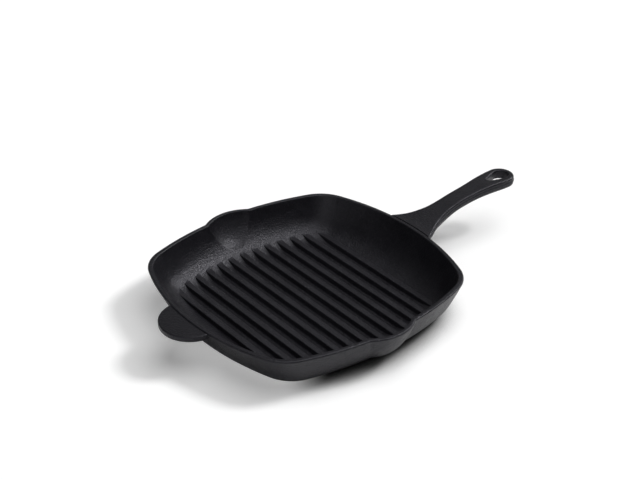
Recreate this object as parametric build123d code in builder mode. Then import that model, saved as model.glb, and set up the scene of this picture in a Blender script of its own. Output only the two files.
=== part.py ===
from build123d import *
from math import cos, pi, radians, sin, sqrt, tan
import os

os.makedirs("parts", exist_ok=True)

# Grill pan, one grey iron casting, in millimetres.
# X runs along the long handle, Y along the ribs and from spout to spout, Z is up.
# The origin is the middle of the flat base.

# Rim, seen from above: four bowed sides and four round corners
rim_length = 260.0
rim_width = 250.5
handle_side_bow = 23.8
spout_side_bow = 21.1
rim_corner_radius = 40.0
rim_land = 4.5
rim_round = 1.3
rim_inner_round = 1.0

# Wall and floor: a straight wall leans in from the rim and turns into the floor on a large arc
pan_height = 40.0
floor_thickness = 4.75
handle_side_slope = 24.0
spout_side_slope = 15.0
base_round = 38.0
base_round_at_corners = 20.0
cove_round = 41.0
cove_round_at_corners = 24.0
base_corner_radius = 36.0
# The turn is drawn through level outlines at these shares of a right angle
turn_shares = [0, 0.08, 0.18, 0.34, 0.50, 0.67, 0.84]

# Spouts
spout_lip = 8.25
spout_radius = 42.0
spout_foot_inset = 27.0
spout_blend = 5.0
scoop_foot_inset = 24.5
scoop_depth = 28.5
scoop_ridge_round = 2.5
# Height above the base, reach past the foot and radius, each as a share of its value at the lip
spout_shares = [
    (1.000, 1.00, 1.00),
    (0.675, 0.87, 0.88),
    (0.400, 0.68, 0.72),
    (0.200, 0.42, 0.56),
    (0.050, -0.10, 0.42),
]
# Depth below the rim as a share of the scoop's depth, then reach and radius as above
scoop_shares = [
    (0.000, 1.00, 1.00),
    (0.245, 0.90, 1.00),
    (0.490, 0.76, 0.85),
    (0.700, 0.60, 0.62),
    (0.877, 0.38, 0.38),
    (1.000, 0.00, 0.20),
]

# Grill ribs: as many as fit between the two handle sides with this margin
rib_margin = 44.0
rib_pitch = 14.25
rib_top_width = 6.0
rib_height = 4.5
rib_draft = 12.0
rib_edge_round = 0.9
rib_foot_round = 2.2
rib_foot_edge = 0.15
rib_end_round = 20.0
rib_end_turn = 18.0
rib_end_run = 4.0

# Long handle
handle_length = 132.5
handle_rise = 15.7
handle_end_radius = 13.8
handle_root_thickness = 6.6
handle_thickness = 9.6
handle_root_blend = 5.0
handle_top_round = 1.8
handle_under_round = 2.2
parting_width = 0.9
parting_proud = 0.5

# Hanging eye
eye_radius = 7.8
eye_tail_radius = 2.9
eye_length = 25.4
eye_land = 5.4
eye_edge_round = 1.4

# Helper handle
lug_radius = 29.5
lug_reach = 24.5
lug_drop = 0.8
lug_thickness = 6.2
lug_blend = 8.5
lug_top_round = 1.2
lug_under_round = 2.4

# Every cut runs past the face it opens by this much
overrun = 2.0

# A face counts as facing up or down when its normal leans less than this share of one
up_facing = 0.5

# The rounded rim edge stands back from the sharp one by this much, so the outline is drawn wider
rim_lean = radians(handle_side_slope)
rim_spread = rim_round * (tan(rim_lean) + 1 / cos(rim_lean) - 1)
half_length = rim_length / 2 + rim_spread
half_width = rim_width / 2 + rim_spread


def in_eye(edge):
    """True for the edges that run round the hanging eye, not up its wall."""
    middle = edge.center()
    return (
        eye_tail_centre - eye_tail_radius - overrun < middle.X < eye_centre + eye_radius + overrun / 2
        and abs(middle.Y) < eye_radius + overrun / 2
    )


def lean_in(height, floor, slope, turn_radius):
    """How far the wall stands in from the rim at one height, on its straight or on its arc."""
    lean = radians(slope)
    climb = turn_radius - (height - floor)
    on_line = (pan_height - height) * tan(lean)
    if climb <= turn_radius * sin(lean):
        return on_line
    foot = (pan_height - floor) * tan(lean) + turn_radius * tan((pi / 2 - lean) / 2)
    return foot - sqrt(turn_radius**2 - climb**2)


def section(height, land, floor, side_turn, corner_turn):
    """Outline of the wall at one height: its sides and its corners turn in on arcs of their own."""
    half_x = half_length - land - lean_in(height, floor, handle_side_slope, side_turn)
    half_y = half_width - land - lean_in(height, floor, spout_side_slope, side_turn)
    corner_x = half_length - land - handle_side_bow - lean_in(height, floor, handle_side_slope, corner_turn)
    corner_y = half_width - land - spout_side_bow - lean_in(height, floor, spout_side_slope, corner_turn)
    depth = pan_height - height
    drawn_in = lean_in(height, floor, spout_side_slope, corner_turn) - depth * tan(radians(spout_side_slope))
    tightened = depth / pan_height * (rim_corner_radius - base_corner_radius)
    with BuildSketch() as outline:
        with BuildLine():
            ThreePointArc((corner_x, -corner_y), (half_x, 0), (corner_x, corner_y))
            ThreePointArc((corner_x, corner_y), (0, half_y), (-corner_x, corner_y))
            ThreePointArc((-corner_x, corner_y), (-half_x, 0), (-corner_x, -corner_y))
            ThreePointArc((-corner_x, -corner_y), (0, -half_y), (corner_x, -corner_y))
        make_face()
        fillet(outline.vertices(), radius=rim_corner_radius - land - tightened - drawn_in)
    return outline.sketch


def outer_section(height, land=0):
    """Outline of the outer wall at one height."""
    return section(height, land, 0, base_round, base_round_at_corners)


def inner_section(height):
    """Outline of the inner wall at one height."""
    return section(height, rim_land, floor_thickness, cove_round, cove_round_at_corners)


def wall_heights(floor, turn_radius, top):
    """Heights of the level outlines: round the turn, then half way up the straight wall and its top."""
    heights = [floor + turn_radius * (1 - cos(share * pi / 2)) for share in turn_shares]
    return heights + [(heights[-1] + top) / 2, top]


def below_rim(edge):
    """True for an edge that isn't in the rim plane."""
    return edge.center().Z < pan_height - rim_round


def disc(height, reach, radius, side):
    """One level section of a spout or scoop: a circle that reaches out to one side."""
    with BuildSketch(Plane.XY.offset(height)) as level:
        with Locations((0, side * (reach - radius))):
            Circle(radius)
    return level.sketch


# Outer form of the wall, before spouts and cavity
with BuildPart() as outer_form:
    for height in wall_heights(0, base_round, pan_height):
        with BuildSketch(Plane.XY.offset(height)):
            add(outer_section(height))
    loft()

# Cavity with its cove, open past the rim
with BuildPart() as cavity:
    for height in wall_heights(floor_thickness, cove_round, pan_height + overrun):
        with BuildSketch(Plane.XY.offset(height)):
            add(inner_section(height))
    loft()


# Pan shell: floor, flared wall, rim and two spouts
spout_reach = rim_width / 2 + spout_lip
spout_foot_reach = rim_width / 2 - spout_foot_inset
scoop_reach = spout_reach - rim_land
scoop_foot_reach = rim_width / 2 - scoop_foot_inset
scoop_radius = spout_radius - rim_land

with BuildPart() as pan_shell:
    add(outer_form.part)
    for side in (1, -1):
        levels = []
        for rise, reach, radius in spout_shares:
            out = spout_foot_reach + reach * (spout_reach - spout_foot_reach)
            levels.append(disc(rise * pan_height, out, radius * spout_radius, side))
        loft(sections=levels)
        creases = pan_shell.edges(Select.NEW).filter_by(below_rim)
        fillet(creases, radius=spout_blend)
    add(cavity.part, mode=Mode.SUBTRACT)
    for side in (1, -1):
        levels = []
        for depth, reach, radius in scoop_shares:
            out = scoop_foot_reach + reach * (scoop_reach - scoop_foot_reach)
            levels.append(disc(pan_height - depth * scoop_depth, out, radius * scoop_radius, side))
        loft(sections=levels, mode=Mode.SUBTRACT)
        ridges = pan_shell.edges(Select.NEW).filter_by(below_rim)
        fillet(ridges, radius=scoop_ridge_round)
    rim_face = pan_shell.faces().sort_by(Axis.Z)[-1]
    fillet(rim_face.outer_wire().edges(), radius=rim_round)
    rim_face = pan_shell.faces().sort_by(Axis.Z)[-1]
    fillet(rim_face.inner_wires()[0].edges(), radius=rim_inner_round)

pan_shell.part.label = "pan_shell"
export_step(pan_shell.part, "parts/pan_shell.step")


# Grill ribs: drafted bars with rounded feet, whose tops turn up into the cove at both ends
rib_count = 1 + 2 * int((rim_length / 2 - rib_margin) / rib_pitch)
rib_top = floor_thickness + rib_height
rib_end_high = rib_top + rib_end_round
rib_lean = tan(radians(rib_draft))
rib_foot_half = rib_top_width / 2 + rib_height * rib_lean
rib_skirt_half = rib_foot_half + rib_foot_round * tan(radians((90 - rib_draft) / 2)) + rib_foot_edge

for index in range(rib_count):
    place = (index - (rib_count - 1) / 2) * rib_pitch
    name = f"grill_rib_{index + 1:02d}"
    reach = 0
    for crest_edge in (place - rib_top_width / 2, place + rib_top_width / 2):
        hits = cavity.part.find_intersection_points(Axis((crest_edge, 0, rib_top), (0, 1, 0)))
        reach = max(reach, *[point.Y for point, normal in hits])
    turn_start = reach - rib_end_run
    with BuildPart() as rib:
        with BuildSketch(Plane.YZ.offset(place)):
            with BuildLine():
                Line((-turn_start, rib_top), (turn_start, rib_top))
                far_turn = JernArc((turn_start, rib_top), (1, 0), rib_end_round, rib_end_turn)
                near_turn = JernArc((-turn_start, rib_top), (-1, 0), rib_end_round, -rib_end_turn)
                far_rise = PolarLine(far_turn @ 1, half_width, rib_end_turn)
                near_rise = PolarLine(near_turn @ 1, half_width, 180 - rib_end_turn)
                Polyline(
                    far_rise @ 1,
                    ((far_rise @ 1).X, floor_thickness),
                    ((near_rise @ 1).X, floor_thickness),
                    near_rise @ 1,
                )
            make_face()
        extrude(amount=rib_skirt_half, both=True)
        with BuildSketch(Plane.XZ) as rib_profile:
            with BuildLine():
                Polyline(
                    (place - rib_skirt_half, floor_thickness),
                    (place + rib_skirt_half, floor_thickness),
                    (place + rib_skirt_half, floor_thickness + rib_foot_edge),
                    (place + rib_foot_half, floor_thickness + rib_foot_edge),
                    (place + rib_top_width / 2, rib_top),
                    (place + rib_top_width / 2, rib_end_high),
                    (place - rib_top_width / 2, rib_end_high),
                    (place - rib_top_width / 2, rib_top),
                    (place - rib_foot_half, floor_thickness + rib_foot_edge),
                    (place - rib_skirt_half, floor_thickness + rib_foot_edge),
                    close=True,
                )
            make_face()
            feet = rib_profile.vertices().group_by(Axis.Y)[1].sort_by(Axis.X)[1:-1]
            fillet(feet, radius=rib_foot_round)
        extrude(amount=half_width, both=True, mode=Mode.INTERSECT)
        crest = rib.faces().filter_by(lambda f: f.normal_at().Z > up_facing).sort_by(SortBy.AREA)[-1]
        fillet(crest.edges().filter_by(Axis.Y), radius=rib_edge_round)
        add(cavity.part, mode=Mode.INTERSECT)
    rib.part.label = name
    export_step(rib.part, f"parts/{name}.step")


# Long handle: plan outline and side outline crossed, then seated on the wall
handle_side_shares = [
    (0.00, 1.92),
    (0.06, 1.62),
    (0.12, 1.30),
    (0.18, 1.05),
    (0.24, 0.87),
    (0.30, 0.775),
    (0.42, 0.717),
    (0.60, 0.754),
    (0.72, 0.865),
    (0.80, 0.945),
]
handle_top_shares = [
    (0.00, 0.00),
    (0.06, 0.01),
    (0.12, 0.10),
    (0.24, 0.34),
    (0.36, 0.59),
    (0.48, 0.77),
    (0.60, 0.89),
    (0.72, 0.98),
    (0.85, 1.00),
]
handle_thickness_shares = [
    (0.00, 0.00),
    (0.06, 0.00),
    (0.12, 0.15),
    (0.24, 0.95),
    (0.36, 0.90),
    (0.48, 0.90),
    (0.60, 0.90),
    (0.72, 1.00),
    (0.85, 1.00),
]
handle_tip = half_length + handle_length
handle_end = handle_tip - handle_end_radius
handle_seat = half_length - 2 * handle_root_thickness
handle_high = pan_height + handle_rise
handle_root_low = pan_height - handle_root_thickness
handle_swell = handle_thickness - handle_root_thickness
eye_centre = handle_tip - eye_land - eye_radius
eye_tail_centre = handle_tip - eye_land - eye_length + eye_tail_radius

side_points = []
for along, wide in handle_side_shares:
    side_points.append((half_length + along * handle_length, wide * handle_end_radius))
top_points = []
for along, rise in handle_top_shares:
    top_points.append((half_length + along * handle_length, pan_height + rise * handle_rise))
under_points = []
for (x, z), (along, swell) in zip(top_points, handle_thickness_shares):
    under_points.append((x, z - handle_root_thickness - swell * handle_swell))

parting_points = []
for (x, top_z), (same_x, under_z) in zip(top_points, under_points):
    parting_points.append((x, (top_z + under_z - parting_width) / 2))


def handle_plan(spread):
    """Outline of the long handle seen from above, wider all round by the spread."""
    root_slope = (side_points[0][1] - side_points[1][1]) / (side_points[1][0] - side_points[0][0])
    root_half = side_points[0][1] + (half_length - handle_seat) * root_slope
    with BuildSketch(Plane.XY.offset(handle_root_low)) as plan:
        with BuildLine():
            far_side = Spline(
                (handle_seat, root_half + spread),
                *[(x, y + spread) for x, y in side_points],
                (handle_end, handle_end_radius + spread),
                tangents=((1, -root_slope), (1, 0)),
            )
            near_side = Spline(
                (handle_seat, -root_half - spread),
                *[(x, -y - spread) for x, y in side_points],
                (handle_end, -handle_end_radius - spread),
                tangents=((1, root_slope), (1, 0)),
            )
            ThreePointArc(far_side @ 1, (handle_tip + spread, 0), near_side @ 1)
            Line(near_side @ 0, far_side @ 0)
        make_face()
        add(outer_section(handle_root_low, overrun))
        root_corners = plan.vertices().filter_by(lambda v: v.X > handle_seat)
        fillet(root_corners.group_by(Axis.X)[0], radius=handle_root_blend)
    return plan.sketch


# Parting line of the mould: a thin band through the handle that stands proud of its sides
with BuildPart() as parting_band:
    with BuildSketch(Plane.XY.offset(handle_root_low)):
        add(handle_plan(parting_proud))
    extrude(amount=2 * handle_rise + handle_thickness, both=True)
    with BuildSketch(Plane.XZ):
        with BuildLine():
            band_under = Spline(
                *parting_points,
                (handle_tip + overrun, handle_high - (handle_thickness + parting_width) / 2),
                tangents=((1, 0), (1, 0)),
            )
            band_top = Spline(
                *[(x, z + parting_width) for x, z in parting_points],
                (handle_tip + overrun, handle_high - (handle_thickness - parting_width) / 2),
                tangents=((1, 0), (1, 0)),
            )
            Polyline(
                band_top @ 0,
                (handle_seat, (band_top @ 0).Y),
                (handle_seat, (band_under @ 0).Y),
                band_under @ 0,
            )
            Line(band_top @ 1, band_under @ 1)
        make_face()
    extrude(amount=half_width, both=True, mode=Mode.INTERSECT)

with BuildPart() as long_handle:
    with BuildSketch(Plane.XY.offset(handle_root_low)):
        add(handle_plan(0))
    extrude(amount=2 * handle_rise + handle_thickness, both=True)
    with BuildSketch(Plane.XZ):
        with BuildLine():
            top_line = Spline(
                *top_points,
                (handle_tip + overrun, handle_high),
                tangents=((1, 0), (1, 0)),
            )
            under_line = Spline(
                *under_points,
                (handle_tip + overrun, handle_high - handle_thickness),
                tangents=((1, 0), (1, 0)),
            )
            Polyline(
                top_line @ 0,
                (handle_seat, pan_height),
                (handle_seat, handle_root_low),
                under_line @ 0,
            )
            Line(top_line @ 1, under_line @ 1)
        make_face()
    extrude(amount=half_width, both=True, mode=Mode.INTERSECT)
    top_face = long_handle.faces().sort_by(Axis.Z)[-1]
    top_edges = top_face.edges().filter_by(lambda e: e.center().X > handle_seat)
    fillet(top_edges, radius=handle_top_round)
    under_face = long_handle.faces().filter_by(lambda f: f.normal_at().Z < -up_facing).sort_by(SortBy.AREA)[-1]
    under_edges = under_face.edges().filter_by(lambda e: e.center().X > handle_seat)
    fillet(under_edges, radius=handle_under_round)
    add(parting_band.part)
    with BuildSketch(Plane.XY.offset(pan_height)):
        with Locations((eye_centre, 0)):
            Circle(eye_radius)
        with Locations((eye_tail_centre, 0)):
            Circle(eye_tail_radius)
        make_hull()
    extrude(amount=2 * handle_rise, both=True, mode=Mode.SUBTRACT)
    fillet(long_handle.edges().filter_by(in_eye), radius=eye_edge_round)
    add(outer_form.part, mode=Mode.SUBTRACT)

long_handle.part.label = "long_handle"
export_step(long_handle.part, "parts/long_handle.step")


# Helper handle: a half-round lug seated on the wall just under the rim
lug_centre = rim_length / 2 + lug_reach - lug_radius
lug_high = pan_height - lug_drop
lug_low = lug_high - lug_thickness

with BuildPart() as helper_handle:
    with BuildSketch(Plane.XY.offset(lug_low)) as lug_plan:
        with Locations((-lug_centre, 0)):
            Circle(lug_radius)
        add(outer_section(lug_low, overrun))
        lug_corners = lug_plan.vertices().filter_by(lambda v: v.X < -lug_centre)
        fillet(lug_corners, radius=lug_blend)
    extrude(amount=lug_thickness)
    lug_top = helper_handle.faces().sort_by(Axis.Z)[-1].edges()
    fillet(lug_top.filter_by(lambda e: e.center().X < -lug_centre), radius=lug_top_round)
    lug_under = helper_handle.faces().sort_by(Axis.Z)[0].edges()
    fillet(lug_under.filter_by(lambda e: e.center().X < -lug_centre), radius=lug_under_round)
    add(outer_form.part, mode=Mode.SUBTRACT)

helper_handle.part.label = "helper_handle"
export_step(helper_handle.part, "parts/helper_handle.step")
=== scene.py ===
"""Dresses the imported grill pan: matte seasoned cast iron on a pale studio floor.

Lengths are metres, but for the camera's place, which is in millimetres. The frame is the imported
model's own: X along the long handle, Y along the ribs and Z up. No shape is added to the casting.
"""

import logging
import math
from dataclasses import dataclass, field
from enum import Enum

import bpy
from mathutils import Matrix, Vector

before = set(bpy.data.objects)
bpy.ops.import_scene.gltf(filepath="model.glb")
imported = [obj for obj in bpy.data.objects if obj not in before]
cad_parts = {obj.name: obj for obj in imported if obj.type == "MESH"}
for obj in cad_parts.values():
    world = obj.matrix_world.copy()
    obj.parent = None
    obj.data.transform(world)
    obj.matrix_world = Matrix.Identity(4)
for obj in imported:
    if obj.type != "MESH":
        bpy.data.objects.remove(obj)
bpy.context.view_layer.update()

logging.basicConfig(level=logging.INFO, format="%(name)s: %(message)s")
log = logging.getLogger("grill_pan")

MILLIMETRE = 0.001


class Zone(Enum):
    """The parts of the casting, each with its own copy of one iron: lighter on the ribs as painted light,
    darker on the shell, the handles and the lug as painted shade.
    """

    SHELL = "shell_iron"
    RIBS = "rib_iron"
    HANDLES = "handle_iron"
    LUG = "lug_iron"


def socket(group: bpy.types.NodeTree, name: str, kind: str, output: bool = False) -> None:
    """Adds one named socket to a node group.

    Args:
        group: The node group that gets the socket.
        name: The socket's name.
        kind: The socket's type, such as NodeSocketFloat.
        output: True for an output socket.
    """
    group.interface.new_socket(name=name, in_out="OUTPUT" if output else "INPUT", socket_type=kind)


def new_group(name: str, inputs: tuple[str, ...], outputs: tuple[str, ...]) -> bpy.types.NodeTree:
    """Makes a shader node group with plain number sockets.

    Args:
        name: The group's name.
        inputs: Names of the number inputs.
        outputs: Names of the number outputs.

    Returns:
        The empty group with its input and output nodes, which are named Group Input and Group Output.
    """
    group = bpy.data.node_groups.new(name, "ShaderNodeTree")
    for label in inputs:
        socket(group, label, "NodeSocketFloat")
    for label in outputs:
        socket(group, label, "NodeSocketFloat", output=True)
    group.nodes.new("NodeGroupInput")
    group.nodes.new("NodeGroupOutput")
    return group


@dataclass
class Wiring:
    """Adds nodes to one node tree and joins them."""

    tree: bpy.types.NodeTree

    def node(self, kind: str, **settings: object) -> bpy.types.Node:
        """Adds one node.

        Args:
            kind: The node's type name.
            **settings: Attributes to set on the node.

        Returns:
            The new node.
        """
        made = self.tree.nodes.new(kind)
        for key, value in settings.items():
            setattr(made, key, value)
        return made

    def feed(self, source: object, target: bpy.types.NodeSocket) -> None:
        """Gives a socket its value: a link from another socket, or a plain number.

        Args:
            source: An output socket, or a value.
            target: The input socket.
        """
        if isinstance(source, bpy.types.NodeSocket):
            self.tree.links.new(source, target)
        else:
            target.default_value = source

    def math(self, operation: str, first: object, second: object = 0.0) -> bpy.types.NodeSocket:
        """Adds a Math node.

        Args:
            operation: Blender's name of the operation.
            first: The first value or socket.
            second: The second value or socket.

        Returns:
            The result's socket.
        """
        made = self.node("ShaderNodeMath", operation=operation)
        self.feed(first, made.inputs[0])
        self.feed(second, made.inputs[1])
        return made.outputs[0]

    def spread(
        self,
        value: object,
        low: object,
        high: object,
        start: float = 0.0,
        end: float = 1.0,
    ) -> bpy.types.NodeSocket:
        """Maps a value smoothly from one range to another.

        Args:
            value: The socket or value to map.
            low: Where the old range starts.
            high: Where the old range ends.
            start: Where the new range starts.
            end: Where the new range ends.

        Returns:
            The mapped value's socket.
        """
        made = self.node("ShaderNodeMapRange", interpolation_type="SMOOTHSTEP")
        for target, source in zip(made.inputs, (value, low, high, start, end)):
            self.feed(source, target)
        return made.outputs[0]

    def noise(
        self,
        place: object,
        scale: object,
        detail: float,
        roughness: float = 0.5,
    ) -> bpy.types.NodeSocket:
        """Adds a Noise texture.

        Args:
            place: The socket that gives the position.
            scale: Features per metre.
            detail: Octaves of finer noise.
            roughness: Strength of the finer octaves.

        Returns:
            The noise value's socket.
        """
        made = self.node("ShaderNodeTexNoise")
        self.feed(place, made.inputs["Vector"])
        self.feed(scale, made.inputs["Scale"])
        self.feed(detail, made.inputs["Detail"])
        self.feed(roughness, made.inputs["Roughness"])
        return made.outputs[0]

    def blend(self, mask: object, low: object, high: object, kind: str) -> bpy.types.NodeSocket:
        """Mixes two values or colours by a mask.

        Args:
            mask: The mask's socket.
            low: What shows where the mask is 0.
            high: What shows where the mask is 1.
            kind: RGBA or FLOAT.

        Returns:
            The mixed value's socket.
        """
        made = self.node("ShaderNodeMix", data_type=kind)
        in_use = [entry for entry in made.inputs if entry.enabled]
        for target, source in zip(in_use, (mask, low, high)):
            self.feed(source, target)
        return next(result for result in made.outputs if result.enabled)


@dataclass
class CastSurfaces:
    """The shared effects of a sand casting, and a mask of the edges that get wear and a painted highlight,
    as shader node groups.
    """

    grain: bpy.types.NodeTree = field(init=False)
    seasoning: bpy.types.NodeTree = field(init=False)
    edge_wear_and_highlight: bpy.types.NodeTree = field(init=False)

    def __post_init__(self) -> None:
        """Builds the three groups once."""
        self.grain = self.build_grain()
        self.seasoning = self.build_seasoning()
        self.edge_wear_and_highlight = self.build_edge_wear_and_highlight()

    def build_grain(self) -> bpy.types.NodeTree:
        """Sand marks of the mould: grains, finer grit and a slow swell.

        Returns:
            A group that puts out a height, a mask of the pits and a mask of the lighter specks.
        """
        settings = ("Grains Per Metre", "Swell Share")
        group = new_group("sand_cast_grain", settings, ("Height", "Pits", "Speckle"))
        wiring = Wiring(group)
        given = group.nodes["Group Input"].outputs
        result = group.nodes["Group Output"].inputs
        place = wiring.node("ShaderNodeTexCoord").outputs["Object"]
        grit_ratio, swell_ratio, pit_ratio = 2.1, 0.12, 1.15
        grain_detail, swell_detail = 2.0, 1.0
        grit_share, pit_share = 0.50, 0.35
        pit_start, pit_full = 0.60, 0.72
        speck_start, speck_full = 0.42, 0.66
        density = given["Grains Per Metre"]
        grit = wiring.noise(place, wiring.math("MULTIPLY", density, grit_ratio), grain_detail)
        grain = wiring.noise(place, density, grain_detail)
        swell = wiring.noise(place, wiring.math("MULTIPLY", density, swell_ratio), swell_detail)
        pit_field = wiring.noise(place, wiring.math("MULTIPLY", density, pit_ratio), grain_detail)
        pits = wiring.spread(pit_field, pit_start, pit_full)
        height = wiring.math("ADD", grain, wiring.math("MULTIPLY", grit, grit_share))
        height = wiring.math("ADD", height, wiring.math("MULTIPLY", swell, given["Swell Share"]))
        height = wiring.math("SUBTRACT", height, wiring.math("MULTIPLY", pits, pit_share))
        wiring.feed(height, result["Height"])
        wiring.feed(pits, result["Pits"])
        wiring.feed(wiring.spread(grit, speck_start, speck_full), result["Speckle"])
        return group

    def build_seasoning(self) -> bpy.types.NodeTree:
        """Patches where the baked oil lies thicker.

        Returns:
            A group that puts out a mask of the thick patches.
        """
        group = new_group("oil_seasoning", ("Patches Per Metre",), ("Thick",))
        wiring = Wiring(group)
        given = group.nodes["Group Input"].outputs
        result = group.nodes["Group Output"].inputs
        place = wiring.node("ShaderNodeTexCoord").outputs["Object"]
        patch_detail, patch_roughness = 4.0, 0.6
        thick_start, thick_full = 0.38, 0.66
        patches = wiring.noise(place, given["Patches Per Metre"], patch_detail, patch_roughness)
        wiring.feed(wiring.spread(patches, thick_start, thick_full), result["Thick"])
        return group

    def build_edge_wear_and_highlight(self) -> bpy.types.NodeTree:
        """Edges smoother than the faces beside them, and lighter in colour: partly wear, partly a painted
        highlight.

        Returns:
            A group that puts out a mask of the edges with the wear and the painted highlight.
        """
        group = new_group("edge_wear_and_highlight", ("Width", "Lowest Turn", "Highest Turn"), ("Wear And Highlight",))
        wiring = Wiring(group)
        given = group.nodes["Group Input"].outputs
        result = group.nodes["Group Output"].inputs
        bevel_samples = 4
        bevel = wiring.node("ShaderNodeBevel", samples=bevel_samples)
        wiring.feed(given["Width"], bevel.inputs["Radius"])
        normal = wiring.node("ShaderNodeNewGeometry").outputs["Normal"]
        turn = wiring.node("ShaderNodeVectorMath", operation="DOT_PRODUCT")
        wiring.feed(bevel.outputs[0], turn.inputs[0])
        wiring.feed(normal, turn.inputs[1])
        bend = wiring.math("SUBTRACT", 1.0, turn.outputs["Value"])
        rubbed_and_highlight = wiring.spread(bend, given["Lowest Turn"], given["Highest Turn"])
        wiring.feed(rubbed_and_highlight, result["Wear And Highlight"])
        return group


@dataclass(frozen=True)
class IronFinish:
    """Seasoned cast iron for one zone of the pan, whose colours carry that zone's painted light or shade.

    Colours are linear. Bare iron shows between the patches of baked oil, and a lighter iron on specks
    as wear and on edges as wear and a painted highlight.
    """

    zone: Zone
    bare: tuple[float, float, float] = (0.0092, 0.0090, 0.0112)
    oiled: tuple[float, float, float] = (0.0066, 0.0064, 0.0082)
    # Lighter iron: on specks it is wear, on edges it is wear and a painted highlight.
    rubbed_and_highlight: tuple[float, float, float] = (0.0170, 0.0166, 0.0200)
    roughness: float = 0.37
    oiled_roughness: float = 0.32
    rubbed_roughness: float = 0.32
    pit_roughness: float = 0.75
    grains_per_metre: float = 620.0
    grain_depth: float = 0.00045
    speck_share: float = 0.45
    swell_share: float = 0.8
    patches_per_metre: float = 34.0
    edge_width: float = 0.0012
    lowest_turn: float = 0.015
    highest_turn: float = 0.14
    specular: float = 0.31
    specular_tint: tuple[float, float, float] = (0.92, 0.905, 1.0)

    def material(self, surfaces: CastSurfaces) -> bpy.types.Material:
        """Builds the finish.

        Args:
            surfaces: The shared node groups.

        Returns:
            The material, named for its zone.
        """
        made = bpy.data.materials.new(f"{self.zone.value}_finish")
        made.use_nodes = True
        wiring = Wiring(made.node_tree)
        shader = made.node_tree.nodes["Principled BSDF"]
        grain = wiring.node("ShaderNodeGroup", node_tree=surfaces.grain)
        wiring.feed(self.grains_per_metre, grain.inputs["Grains Per Metre"])
        wiring.feed(self.swell_share, grain.inputs["Swell Share"])
        oil = wiring.node("ShaderNodeGroup", node_tree=surfaces.seasoning)
        wiring.feed(self.patches_per_metre, oil.inputs["Patches Per Metre"])
        edge = wiring.node("ShaderNodeGroup", node_tree=surfaces.edge_wear_and_highlight)
        wiring.feed(self.edge_width, edge.inputs["Width"])
        wiring.feed(self.lowest_turn, edge.inputs["Lowest Turn"])
        wiring.feed(self.highest_turn, edge.inputs["Highest Turn"])
        colour = wiring.blend(oil.outputs["Thick"], (*self.bare, 1.0), (*self.oiled, 1.0), "RGBA")
        speck = wiring.math("MULTIPLY", grain.outputs["Speckle"], self.speck_share)
        colour = wiring.blend(speck, colour, (*self.rubbed_and_highlight, 1.0), "RGBA")
        # Painted highlight: the edges get the lighter iron, partly as wear.
        colour = wiring.blend(edge.outputs["Wear And Highlight"], colour, (*self.rubbed_and_highlight, 1.0), "RGBA")
        rough = wiring.blend(oil.outputs["Thick"], self.roughness, self.oiled_roughness, "FLOAT")
        rough = wiring.blend(edge.outputs["Wear And Highlight"], rough, self.rubbed_roughness, "FLOAT")
        rough = wiring.blend(grain.outputs["Pits"], rough, self.pit_roughness, "FLOAT")
        bump = wiring.node("ShaderNodeBump")
        wiring.feed(self.grain_depth, bump.inputs["Distance"])
        wiring.feed(grain.outputs["Height"], bump.inputs["Height"])
        wiring.feed(colour, shader.inputs["Base Color"])
        wiring.feed(rough, shader.inputs["Roughness"])
        wiring.feed(bump.outputs["Normal"], shader.inputs["Normal"])
        shader.inputs["Specular IOR Level"].default_value = self.specular
        shader.inputs["Specular Tint"].default_value = (*self.specular_tint, 1.0)
        return made


@dataclass
class Casting:
    """The pan's CAD nodes and the finish that each gets."""

    surfaces: CastSurfaces
    # One iron in lit and shaded copies: the ribs keep the lighter default colours as painted light, and
    # the shell, the handles and the lug get darker colours as painted shade, the lug the darkest.
    finishes: dict[Zone, IronFinish] = field(
        default_factory=lambda: {
            Zone.SHELL: IronFinish(
                Zone.SHELL,
                bare=(0.0068, 0.0066, 0.0084),
                oiled=(0.0048, 0.0046, 0.0062),
            ),
            Zone.RIBS: IronFinish(Zone.RIBS),
            Zone.HANDLES: IronFinish(
                Zone.HANDLES,
                bare=(0.0070, 0.0068, 0.0086),
                oiled=(0.0050, 0.0048, 0.0064),
            ),
            Zone.LUG: IronFinish(
                Zone.LUG,
                bare=(0.0060, 0.0058, 0.0074),
                oiled=(0.0044, 0.0042, 0.0056),
                specular=0.26,
            ),
        }
    )

    def zone_of(self, node: str) -> Zone:
        """Tells which zone a node belongs to.

        Args:
            node: The CAD node's name.

        Returns:
            The node's zone.
        """
        if node.startswith("grill_rib"):
            return Zone.RIBS
        if node == "helper_handle":
            return Zone.LUG
        if node == "long_handle":
            return Zone.HANDLES
        return Zone.SHELL

    def dress(self) -> None:
        """Gives every CAD node its finish."""
        materials = {zone: finish.material(self.surfaces) for zone, finish in self.finishes.items()}
        for name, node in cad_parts.items():
            material = materials[self.zone_of(name)]
            if not node.material_slots:
                node.data.materials.append(material)
            for slot in node.material_slots:
                slot.material = material
            log.info("%s dressed with %s", name, material.name)


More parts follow.
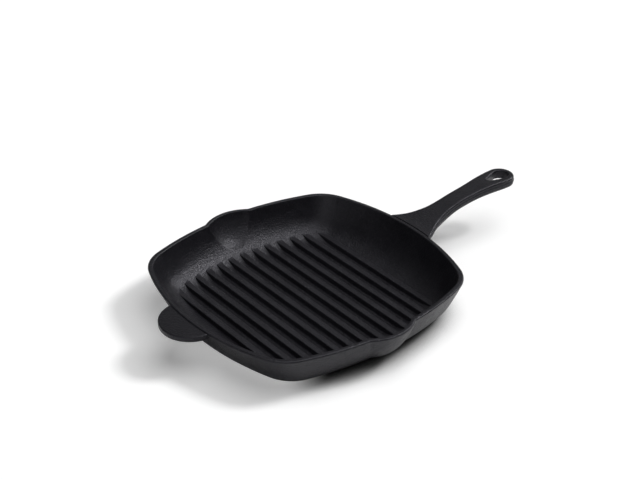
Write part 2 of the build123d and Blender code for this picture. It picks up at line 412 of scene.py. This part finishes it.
@dataclass
class Studio:
    """The plain pale floor, the soft lights and the camera."""

    # Floor: half its side, its colour, and the glow that makes it white to the camera
    floor_half: float = 6.0
    floor_albedo: float = 0.95
    floor_roughness: float = 0.9
    floor_glow: float = 0.05
    # Contact shadow where X minus Y is past the side's end, and a paler shadow where it is below its start
    contact_samples: int = 16
    contact_reach: float = 0.052
    contact_low: float = 0.15
    contact_high: float = 0.60
    contact_side_start: float = -0.01
    contact_side_end: float = 0.05
    shadow_lift: float = 0.30
    lift_high: float = 1.0
    # How far from the pan's middle the floor that the iron mirrors starts and ends to darken
    mirror_near: float = 0.30
    mirror_far: float = 0.80
    # Surround and backdrop, whose edge and middle are cosines of the angle to its direction
    world_level: float = 0.015
    backdrop_direction: tuple[float, float, float] = (0.53, 0.67, 0.52)
    backdrop_level: float = 0.20
    backdrop_edge: float = 0.55
    backdrop_middle: float = 0.95
    # Lamps: the way to each, its strength and its width in degrees
    key_direction: tuple[float, float, float] = (0.66, -0.28, 0.70)
    key_strength: float = 1.8
    key_angle: float = 15.0
    strip_direction: tuple[float, float, float] = (0.76, -0.07, 0.64)
    strip_strength: float = 1.7
    strip_angle: float = 16.0
    top_direction: tuple[float, float, float] = (0.20, -0.15, 0.97)
    top_strength: float = 1.75
    top_angle: float = 60.0
    fill_direction: tuple[float, float, float] = (-0.88, -0.38, 0.25)
    fill_strength: float = 0.75
    fill_angle: float = 54.0
    # Camera: degrees, pixels and millimetres, fitted to the rim in the photograph
    azimuth: float = -38.447
    elevation: float = 31.028
    focal_pixels: float = 1398.215
    image_width: float = 640.0
    sensor: float = 36.0
    camera_right: float = 13.988
    camera_up: float = 67.451
    camera_back: float = 1307.957
    camera_drop: float = 7.0

    def build(self) -> None:
        """Builds the floor, the lights and the camera."""
        self.build_floor()
        self.build_world()
        key = (self.key_direction, self.key_strength, self.key_angle)
        strip = (self.strip_direction, self.strip_strength, self.strip_angle)
        top = (self.top_direction, self.top_strength, self.top_angle)
        fill = (self.fill_direction, self.fill_strength, self.fill_angle)
        self.build_lamp("key", *key, glossy=False)
        self.build_lamp("strip", *strip, diffuse=False)
        self.build_lamp("top", *top)
        self.build_lamp("fill", *fill)
        self.build_camera()
        bpy.context.scene.view_settings.view_transform = "Standard"

    def build_floor(self) -> None:
        """A flat floor under the pan."""
        mesh = bpy.data.meshes.new("studio_floor")
        half = self.floor_half
        corners = [(-half, -half, 0.0), (half, -half, 0.0), (half, half, 0.0), (-half, half, 0.0)]
        mesh.from_pydata(corners, [], [(0, 1, 2, 3)])
        floor = bpy.data.objects.new("studio_floor", mesh)
        bpy.context.scene.collection.objects.link(floor)
        mesh.materials.append(self.floor_finish())
        log.info("studio_floor built")

    def floor_finish(self) -> bpy.types.Material:
        """Pale paint that is white to the camera and takes the pan's shadow.

        Close to the pan the shadow is deepened on the handle's and the front spout's side, and made
        paler on the lug's and the back spout's side. Far from the pan the iron mirrors a darker floor.

        Returns:
            The floor's material.
        """
        material = bpy.data.materials.new("studio_floor_finish")
        material.use_nodes = True
        wiring = Wiring(material.node_tree)
        shader = material.node_tree.nodes["Principled BSDF"]
        shader.inputs["Roughness"].default_value = self.floor_roughness
        shader.inputs["Emission Color"].default_value = (1.0, 1.0, 1.0, 1.0)
        rays = wiring.node("ShaderNodeLightPath").outputs
        seen = wiring.math("MAXIMUM", rays["Is Camera Ray"], rays["Is Transmission Ray"])
        near = wiring.node("ShaderNodeAmbientOcclusion", samples=self.contact_samples)
        wiring.feed(self.contact_reach, near.inputs["Distance"])
        clear = wiring.spread(near.outputs["AO"], self.contact_low, self.contact_high)
        covered = wiring.spread(near.outputs["AO"], self.contact_low, self.lift_high, 1.0, 0.0)
        point = wiring.node("ShaderNodeTexCoord").outputs["Object"]
        place = wiring.node("ShaderNodeSeparateXYZ")
        wiring.feed(point, place.inputs["Vector"])
        across = wiring.math("SUBTRACT", place.outputs["X"], place.outputs["Y"])
        side = wiring.spread(across, self.contact_side_start, self.contact_side_end)
        lifted = wiring.math("ADD", self.floor_glow, wiring.math("MULTIPLY", covered, self.shadow_lift))
        glow = wiring.blend(side, lifted, wiring.math("MULTIPLY", clear, self.floor_glow), "FLOAT")
        span = wiring.node("ShaderNodeVectorMath", operation="LENGTH")
        wiring.feed(point, span.inputs[0])
        far = wiring.spread(span.outputs["Value"], self.mirror_near, self.mirror_far)
        dim = wiring.math("SUBTRACT", 1.0, wiring.math("MULTIPLY", rays["Is Glossy Ray"], far))
        shaded = wiring.math("MULTIPLY", dim, wiring.blend(side, 1.0, clear, "FLOAT"))
        black = (0.0, 0.0, 0.0, 1.0)
        pale = (self.floor_albedo,) * 3 + (1.0,)
        wiring.feed(wiring.blend(shaded, black, pale, "RGBA"), shader.inputs["Base Color"])
        wiring.feed(wiring.math("MULTIPLY", seen, glow), shader.inputs["Emission Strength"])
        return material

    def build_world(self) -> None:
        """A dim surround with a brighter backdrop behind the pan."""
        world = bpy.data.worlds.new("studio")
        world.use_nodes = True
        background = world.node_tree.nodes["Background"]
        background.inputs["Color"].default_value = (1.0, 1.0, 1.0, 1.0)
        wiring = Wiring(world.node_tree)
        facing = wiring.node("ShaderNodeVectorMath", operation="DOT_PRODUCT")
        wiring.feed(wiring.node("ShaderNodeTexCoord").outputs["Generated"], facing.inputs[0])
        wiring.feed(self.backdrop_direction, facing.inputs[1])
        toward = facing.outputs["Value"]
        around = (self.backdrop_edge, self.backdrop_middle)
        level = wiring.spread(toward, *around, self.world_level, self.backdrop_level)
        wiring.feed(level, background.inputs["Strength"])
        bpy.context.scene.world = world
        log.info("studio world built")

    @staticmethod
    def build_lamp(
        name: str,
        direction: tuple[float, float, float],
        strength: float,
        angle: float,
        diffuse: bool = True,
        glossy: bool = True,
    ) -> None:
        """One far soft light.

        Args:
            name: The lamp's name.
            direction: The way from the pan to the light.
            strength: Its light on a surface that faces it.
            angle: How wide it looks from the pan, in degrees.
            diffuse: False for a light that is only mirrored.
            glossy: False for a light that isn't mirrored.
        """
        light = bpy.data.lights.new(name, "SUN")
        light.energy = strength
        light.angle = math.radians(angle)
        lamp = bpy.data.objects.new(name, light)
        lamp.visible_diffuse = diffuse
        lamp.visible_glossy = glossy
        lamp.rotation_euler = Vector(direction).to_track_quat("Z", "Y").to_euler()
        bpy.context.scene.collection.objects.link(lamp)
        log.info("%s lamp built", name)

    def build_camera(self) -> None:
        """The camera at the photograph's viewing angle."""
        turn = math.radians(self.azimuth)
        tilt = math.radians(self.elevation)
        right = Vector((math.cos(turn), math.sin(turn), 0.0))
        level_back = Vector((math.sin(turn), -math.cos(turn), 0.0))
        back = level_back * math.cos(tilt) + Vector((0.0, 0.0, math.sin(tilt)))
        up = back.cross(right)
        place = right * self.camera_right + up * self.camera_up + back * self.camera_back
        place.z -= self.camera_drop
        lens = bpy.data.cameras.new("photo_camera")
        lens.sensor_width = self.sensor
        lens.lens = self.focal_pixels / self.image_width * self.sensor
        camera = bpy.data.objects.new("photo_camera", lens)
        turned = Matrix((right, up, back)).transposed().to_4x4()
        camera.matrix_world = Matrix.Translation(place * MILLIMETRE) @ turned
        bpy.context.scene.collection.objects.link(camera)
        bpy.context.scene.camera = camera
        log.info("%s built", camera.name)


def main() -> None:
    """Builds the pan's finishes and the studio."""
    Casting(CastSurfaces()).dress()
    Studio().build()


if __name__ == "__main__":
    main()
